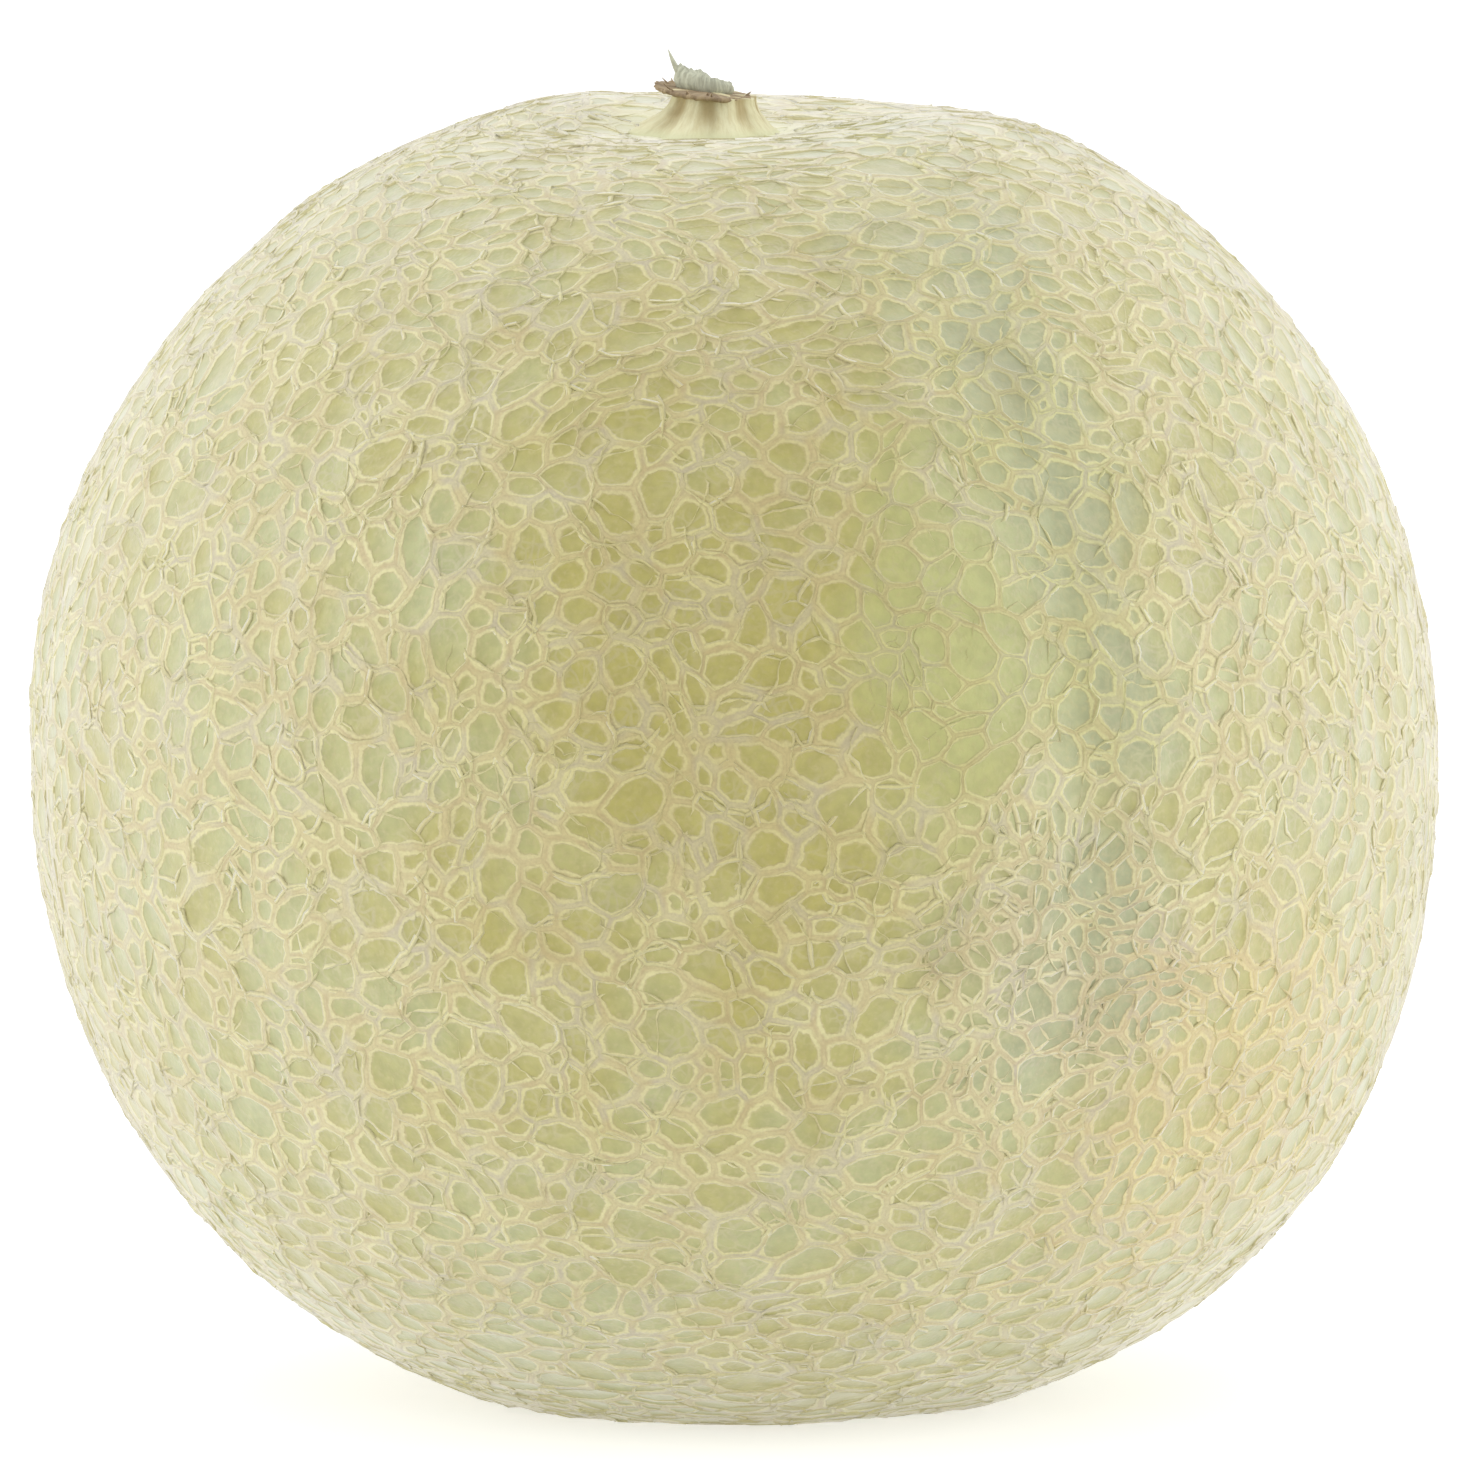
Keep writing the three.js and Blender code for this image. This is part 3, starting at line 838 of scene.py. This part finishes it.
def buildCorkGroup():
    # the colour and the fine height of the corky net, for the rind and its loose strands
    tree = bpy.data.node_groups.new("corkFinish", "ShaderNodeTree")
    share = "NodeSocketFloat"
    given, result = addSockets(
        tree,
        [("Place", "NodeSocketVector", None), ("Across", share, 0.5), ("Green", share, 0.0),
         ("White", share, 0.0), ("Yellow", share, 0.0), ("RipeAndShade", share, 0.0)],
        [("Color", "NodeSocketColor"), ("Height", "NodeSocketFloat")])
    patchy = put(tree, "ShaderNodeTexNoise", {
        "Vector": given["Place"], "Scale": 1 / cork["patchSize"], "Detail": 2.0, "Roughness": 0.6})
    grain = put(tree, "ShaderNodeTexNoise", {
        "Vector": given["Place"], "Scale": 1 / cork["grainSize"], "Detail": 1.0, "Roughness": 0.6})
    cordNoise = noiseAt(tree, given["Place"], cork["cordSize"], 1.0)
    phase = calc(tree, "ADD", calc(tree, "MULTIPLY", given["Across"], cork["bundle"]),
                 calc(tree, "MULTIPLY", cordNoise, cork["cordShift"]))
    cords = calc(tree, "ADD", calc(tree, "MULTIPLY", calc(tree, "SINE", calc(
        tree, "MULTIPLY", phase, 2 * math.pi)), 0.5), 0.5)
    start, full, fade, end = cork["rimPlace"]
    rim = calc(tree, "MULTIPLY", remap(tree, given["Across"], start, full),
               remap(tree, given["Across"], fade, end, 1.0, 0.0))
    raised = calc(tree, "MAXIMUM", rim, calc(tree, "MULTIPLY", cords, cork["cordHeight"]))
    bright = calc(tree, "MULTIPLY", raised, remap(
        tree, patchy.outputs[0], 0.38, 0.62, 1.0, cork["dimRims"]))
    crestNoise = noiseAt(tree, given["Place"], cork["crestSize"], 1.0)
    crest = blendColours(tree, remap(tree, crestNoise, 0.45, 0.62), cork["crest"], cork["lavender"])
    colour = blendColours(tree, bright, crest, cork["rim"])
    # tints; the green and ripe ones partly paint shade, in the open suture and in the middle of the front
    for name, tint in cork["tints"].items():
        colour = blendColours(tree, given[name], colour, tint, "MULTIPLY")
    light = remap(tree, grain.outputs[0], 0.3, 0.7, *cork["grainTones"])
    tree.links.new(toned(tree, colour, light), result["Color"])
    height = calc(tree, "ADD", calc(tree, "MULTIPLY", grain.outputs[0], cork["grainHeight"]), raised)
    tree.links.new(height, result["Height"])
    return tree


def toned(tree, colour, light):
    grey = put(tree, "ShaderNodeCombineColor", {0: light, 1: light, 2: light}).outputs[0]
    return blendColours(tree, 1.0, colour, grey, "MULTIPLY")


rind = {
    "grey": hexColour("a3a573"),
    "olive": hexColour("a49f60"),
    # a ripe olive for the middle of the front, which also paints the shade of the weakly lit front
    "ripe": hexColour("9f9649"),
    "green": hexColour("a7aa6c"),
    # the grey-green of the fine patch's skin, and painted shade on the skin of the open suture
    "shade": hexColour("949978"),
    # a darker, duller spot of painted shade high in the open suture
    "stain": hexColour("8f8c68"),
    "yellow": hexColour("cdb874"),
    "crown": hexColour("d4d3a2"),
    "groundPatch": hexColour("cfc596"),
    "footEdge": (-0.05, 0.3),  # on the net attribute, where skin gives way to cork
    "raggedSize": 0.55 * mm,  # of the uneven edge there
    "raggedBy": 0.4,
    "broadSize": 15 * mm,  # of grey and olive skin
    "speckleSize": 1.4 * mm,
    "speckleTones": (0.93, 1.05),
    "warpSize": 2.4 * mm,  # of the bends in the fine strands
    "warpBy": 2.2 * mm,
    "fineStrandSize": 1.9 * mm,
    "fineStrandWidth": 0.13,
    "fineStrandWeight": 0.45,
    "fineStrandPatch": 5 * mm,
    "footHeight": 0.35,  # of a strand in the bump, against its cork's own height
    "corkHeight": 0.5,
    "skinRoughness": 0.5,
    "skinWeights": {"ripe": 0.85, "shade": 0.75, "green": 0.75},
    "weights": {"yellow": 0.06, "stain": 0.35, "groundPatch": 0.5, "crown": 0.7},
}


def makeRindMaterial(corkGroup):
    material, tree, shader = newMaterial("nettedRind")
    place = objectPlace(tree)
    bald, fine, ripe = mask(tree, "bald"), mask(tree, "fine"), mask(tree, "ripe")
    sunny, valley = mask(tree, "sunny"), mask(tree, "valley")
    stemEnd, ground = mask(tree, "stemEnd"), mask(tree, "ground")

    # the skin between the strands
    broad = noiseAt(tree, place, rind["broadSize"], 2.0)
    skin = blendColours(tree, remap(tree, broad, 0.36, 0.64), rind["grey"], rind["olive"])
    # the ripe olive of the front and the grey-green of the open suture are partly painted shade
    fineAndValley = calc(tree, "MAXIMUM", fine, valley)
    for name, where in (("ripe", ripe), ("shade", fineAndValley), ("green", bald)):
        share = calc(tree, "MULTIPLY", where, rind["skinWeights"][name])
        skin = blendColours(tree, share, skin, rind[name])
    speckles = noiseAt(tree, place, rind["speckleSize"], 1.0)
    skin = toned(tree, skin, remap(tree, speckles, 0.3, 0.7, *rind["speckleTones"]))

    # fine strands that only colour and bump can show
    warp = put(tree, "ShaderNodeTexNoise", {
        "Vector": place, "Scale": 1 / rind["warpSize"], "Detail": 0.0})
    bent = scaled(tree, vector(tree, "SUBTRACT", warp.outputs["Color"], (0.5, 0.5, 0.5)), rind["warpBy"])
    lines = put(tree, "ShaderNodeTexVoronoi", {
        "Vector": vector(tree, "ADD", place, bent), "Scale": 1 / rind["fineStrandSize"]},
        feature="DISTANCE_TO_EDGE")
    fineLine = remap(tree, lines.outputs["Distance"], 0.03, rind["fineStrandWidth"], 1.0, 0.0)
    patchy = noiseAt(tree, place, rind["fineStrandPatch"], 1.0)
    fineLine = calc(tree, "MULTIPLY", fineLine, remap(tree, patchy, 0.42, 0.6))
    ragged = calc(tree, "MULTIPLY", calc(tree, "SUBTRACT", noiseAt(
        tree, place, rind["raggedSize"], 1.0), 0.5), rind["raggedBy"])
    across = calc(tree, "ADD", mask(tree, "net"), ragged)
    strand = remap(tree, across, *rind["footEdge"])
    corky = calc(tree, "MAXIMUM", strand, calc(tree, "MULTIPLY", fineLine, rind["fineStrandWeight"]))

    # through the green and ripe tints the cords get painted shade in the open suture and in the middle of the
    # front
    corkFinish = put(tree, "ShaderNodeGroup", {
        "Place": place, "Across": across,
        "Green": calc(tree, "MAXIMUM", bald, valley), "White": fine, "Yellow": sunny, "RipeAndShade": ripe},
        node_tree=corkGroup)
    colour = blendColours(tree, corky, skin, corkFinish.outputs["Color"])

    # yellowed patches, a spot of painted shade in the open suture, the ground spot and the pale skin round
    # the stem
    for name, where in (("yellow", sunny), ("stain", mask(tree, "stain")), ("groundPatch", ground),
                        ("crown", stemEnd)):
        share = calc(tree, "MULTIPLY", where, rind["weights"][name])
        colour = blendColours(tree, share, colour, rind[name])
    tree.links.new(colour, shader.inputs["Base Color"])

    tree.links.new(remap(tree, corky, 0.0, 1.0, rind["skinRoughness"], cork["roughness"]),
                   shader.inputs["Roughness"])
    shader.inputs["Sheen Weight"].default_value = cork["sheen"]
    height = calc(tree, "ADD", calc(tree, "MULTIPLY", strand, rind["footHeight"]), calc(
        tree, "MULTIPLY", corkFinish.outputs["Height"], rind["corkHeight"]))
    bump = put(tree, "ShaderNodeBump", {
        "Height": height, "Strength": cork["bumpStrength"], "Distance": cork["rindBump"]})
    tree.links.new(bump.outputs[0], shader.inputs["Normal"])
    return material


def makeStrandMaterial(corkGroup):
    material, tree, shader = newMaterial("crossingStrand")
    place = objectPlace(tree)
    bald, fine, sunny = mask(tree, "bald"), mask(tree, "fine"), mask(tree, "sunny")
    ripe, valley = mask(tree, "ripe"), mask(tree, "valley")
    # through the green and ripe tints the strands get painted shade in the open suture and in the middle of
    # the front
    corkFinish = put(tree, "ShaderNodeGroup", {
        "Place": place, "Across": 0.35, "Green": calc(tree, "MAXIMUM", bald, valley), "White": fine,
        "Yellow": sunny, "RipeAndShade": ripe},
        node_tree=corkGroup)
    tree.links.new(corkFinish.outputs["Color"], shader.inputs["Base Color"])
    shader.inputs["Roughness"].default_value = cork["roughness"]
    shader.inputs["Sheen Weight"].default_value = cork["sheen"]
    bump = put(tree, "ShaderNodeBump", {
        "Height": corkFinish.outputs["Height"], "Strength": cork["bumpStrength"],
        "Distance": cork["strandBump"]})
    tree.links.new(bump.outputs[0], shader.inputs["Normal"])
    return material


def buildFibreGroup():
    # streaks that run up the stem, from its own axis outwards
    tree = bpy.data.node_groups.new("stemFibre", "ShaderNodeTree")
    given, result = addSockets(
        tree,
        [("Place", "NodeSocketVector", None), ("First", "NodeSocketColor", (1, 1, 1, 1)),
         ("Second", "NodeSocketColor", (0, 0, 0, 1)), ("Streaks", "NodeSocketFloat", 4.0)],
        [("Color", "NodeSocketColor"), ("Height", "NodeSocketFloat")])
    flat = vector(tree, "MULTIPLY", given["Place"], (1, 1, 0))
    around = put(tree, "ShaderNodeVectorMath", {
        0: vector(tree, "NORMALIZE", flat), "Scale": given["Streaks"]}, operation="SCALE")
    rising = vector(tree, "MULTIPLY", given["Place"], (60, 60, 260))
    streaks = put(tree, "ShaderNodeTexNoise", {
        "Vector": vector(tree, "ADD", around.outputs[0], rising), "Scale": 2.0, "Detail": 4.0,
        "Roughness": 0.65})
    share = remap(tree, streaks.outputs[0], 0.36, 0.64)
    tree.links.new(blendColours(tree, share, given["First"], given["Second"]), result["Color"])
    tree.links.new(streaks.outputs[0], result["Height"])
    return tree


def makeStemMaterial(name, fibreGroup, stemPlace):
    material, tree, shader = newMaterial(name)
    first, second, roughness = stem["finishes"][name]
    place = objectPlace(tree, 1.0, tuple(-stemPlace))
    fibre = put(tree, "ShaderNodeGroup", {
        "Place": place, "First": hexColour(first), "Second": hexColour(second),
        "Streaks": stem["streaks"]}, node_tree=fibreGroup)
    tree.links.new(fibre.outputs["Color"], shader.inputs["Base Color"])
    shader.inputs["Roughness"].default_value = roughness
    bump = put(tree, "ShaderNodeBump", {
        "Height": fibre.outputs["Height"], "Strength": 0.7, "Distance": 0.25 * mm})
    tree.links.new(bump.outputs[0], shader.inputs["Normal"])
    return material


def makeFootMaterial(fibreGroup, stemPlace):
    # pale ribs with brown hollows between them, which fade into the rind's own colour
    material = makeStemMaterial("stemFoot", fibreGroup, stemPlace)
    tree = material.node_tree
    shader = tree.nodes["Principled BSDF"]
    streaked = shader.inputs["Base Color"].links[0].from_socket
    across, deep, level = put(tree, "ShaderNodeSeparateXYZ", {
        0: objectPlace(tree, 1.0, tuple(-stemPlace))}).outputs
    turn = calc(tree, "SUBTRACT", calc(tree, "ARCTAN2", deep, across), stem["ribTurn"])
    rib = calc(tree, "COSINE", calc(tree, "MULTIPLY", turn, float(stem["ribs"])))
    hollow = calc(tree, "MULTIPLY", remap(tree, rib, -0.9, 0.5, 1.0, 0.15),
                  remap(tree, level, 0.3 * mm, 3.2 * mm))
    colour = blendColours(tree, calc(tree, "MULTIPLY", hollow, 0.9), streaked,
                          hexColour(stem["hollowColour"]))
    colour = blendColours(tree, remap(tree, level, 0.1 * mm, 1.4 * mm, 0.9, 0.0), colour,
                          hexColour(stem["hemColour"]))
    tree.links.new(colour, shader.inputs["Base Color"])
    return material


def makeFloorMaterial():
    material, tree, shader = newMaterial("studioFloor")
    shader.inputs["Base Color"].default_value = (*[studio["floorTone"]] * 3, 1)
    shader.inputs["Emission Color"].default_value = (1, 1, 1, 1)
    shader.inputs["Emission Strength"].default_value = studio["floorGlow"]
    shader.inputs["Roughness"].default_value = 0.9
    return material


# Camera, lights and floor
studio = {
    "distance": 1600 * mm,
    "elevation": math.radians(6),
    "pixelsPerMm": 9.084,  # at the fruit's axis, in the photo's own 1474 pixels
    "photoWidth": 1474,
    "sensor": 36.0,
    "aimAside": (-0.58 * mm, -0.53 * mm),  # from the middle of the belt to that of the frame
    "clipStart": 0.05,
    "lamps": [  # name, place, size and power
        ("softSide", (-0.8, -0.05, 0.25), 0.6, 2.2),
        ("softSide", (0.8, -0.05, 0.25), 0.6, 2.2),
        ("softTop", (0, 0.1, 0.95), 0.8, 1.6),
    ],
    "worldLight": 1.0,
    "floorTone": 0.62,
    "floorGlow": 0.55,  # the floor is a light table
    "floorHalfWidth": 4.0,
    "floorDrop": 0.05 * mm,  # under the ground spot
}


def makeCamera(beltMiddle):
    camera = bpy.data.cameras.new("camera")
    camera.sensor_width = studio["sensor"]
    camera.lens = studio["sensor"] * studio["distance"] / mm * studio["pixelsPerMm"] / studio["photoWidth"]
    camera.clip_start = studio["clipStart"]
    eye = linked("camera", camera)
    away = Vector((0, -math.cos(studio["elevation"]), math.sin(studio["elevation"])))
    aim = beltMiddle + Vector((studio["aimAside"][0], 0, studio["aimAside"][1]))
    eye.location = beltMiddle + away * studio["distance"]
    eye.rotation_euler = (aim - eye.location).to_track_quat("-Z", "Y").to_euler()
    bpy.context.scene.camera = eye


def makeLight(name, place, aim, size, power):
    light = bpy.data.lights.new(name, "AREA")
    light.shape = "DISK"
    light.size = size
    light.energy = power
    lamp = linked(name, light)
    lamp.location = place
    lamp.rotation_euler = (aim - Vector(place)).to_track_quat("-Z", "Y").to_euler()


def makeStudio(beltMiddle):
    makeCamera(beltMiddle)
    for name, place, size, power in studio["lamps"]:
        makeLight(name, place, beltMiddle, size, power)
    world = bpy.data.worlds.new("studio")
    world.use_nodes = True
    world.node_tree.nodes["Background"].inputs["Color"].default_value = (1, 1, 1, 1)
    world.node_tree.nodes["Background"].inputs["Strength"].default_value = studio["worldLight"]
    bpy.context.scene.world = world
    bpy.context.scene.view_settings.view_transform = "Standard"
    plane = bpy.data.meshes.new("studioFloor")
    half = studio["floorHalfWidth"]
    plane.from_pydata([(-half, -half, 0), (half, -half, 0), (half, half, 0), (-half, half, 0)], [],
                      [(0, 1, 2, 3)])
    plane.materials.append(makeFloorMaterial())
    floor = linked("studioFloor", plane)
    floor.location.z = -studio["floorDrop"]


# Making it all

corkGroup = buildCorkGroup()
cellGroup, patchGroup = buildCellGroup(), buildPatchGroup()
rindPiece, rindPoints = makeRind(makeRindMaterial(corkGroup), cellGroup, patchGroup)
low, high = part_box("melon_fruit")
ownMiddle = (rindPoints.min(0) + rindPoints.max(0)) / 2
aside = np.array([(low.x + high.x) / 2 / mm - ownMiddle[0], (low.y + high.y) / 2 / mm - ownMiddle[1], 0])
strandPieces = makeStrands(buildStrandTree(makeStrandMaterial(corkGroup), cellGroup, patchGroup), rindPiece)
for piece, points in [(rindPiece, rindPoints), *strandPieces]:
    writePoints(piece.data, (points + aside) * mm)
    print(piece.name, "grown:", len(piece.data.polygons), "faces, moved aside by", aside.round(2))

towardStem = normalised(np.array([[*fruit["stemAxis"], fruit["crown"][0]]]))
underStem = formPoints(towardStem, np.zeros(1))[0][0] + aside
stemPlace = Vector((underStem[0], underStem[1], underStem[2] + fruit["beltHeight"] - stem["footEdge"] / 2))
stemPlace *= mm
fibreGroup = buildFibreGroup()
stemPiece = makeStem([
    makeFootMaterial(fibreGroup, stemPlace),
    makeStemMaterial("stemCollar", fibreGroup, stemPlace),
    makeStemMaterial("stemCut", fibreGroup, stemPlace),
    makeStemMaterial("stemFlap", fibreGroup, stemPlace),
])
stemTurn = Matrix.Rotation(fruit["stemLean"], 4, "Y") @ Matrix.Rotation(fruit["tip"], 4, "X")
stemPiece.data.transform(Matrix.Translation(stemPlace) @ stemTurn @ Matrix.Scale(mm, 4))
print("stem stub made at", [round(v / mm, 2) for v in stemPlace])

for piece in [rindPiece, *[strandPiece for strandPiece, points in strandPieces]]:
    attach(piece, body)
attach(stemPiece, body)
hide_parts("melon_fruit")
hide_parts("stem_stub")

beltMiddle = Vector((aside[0] * mm, aside[1] * mm, fruit["beltHeight"] * mm))
makeStudio(beltMiddle)
print("studio set")
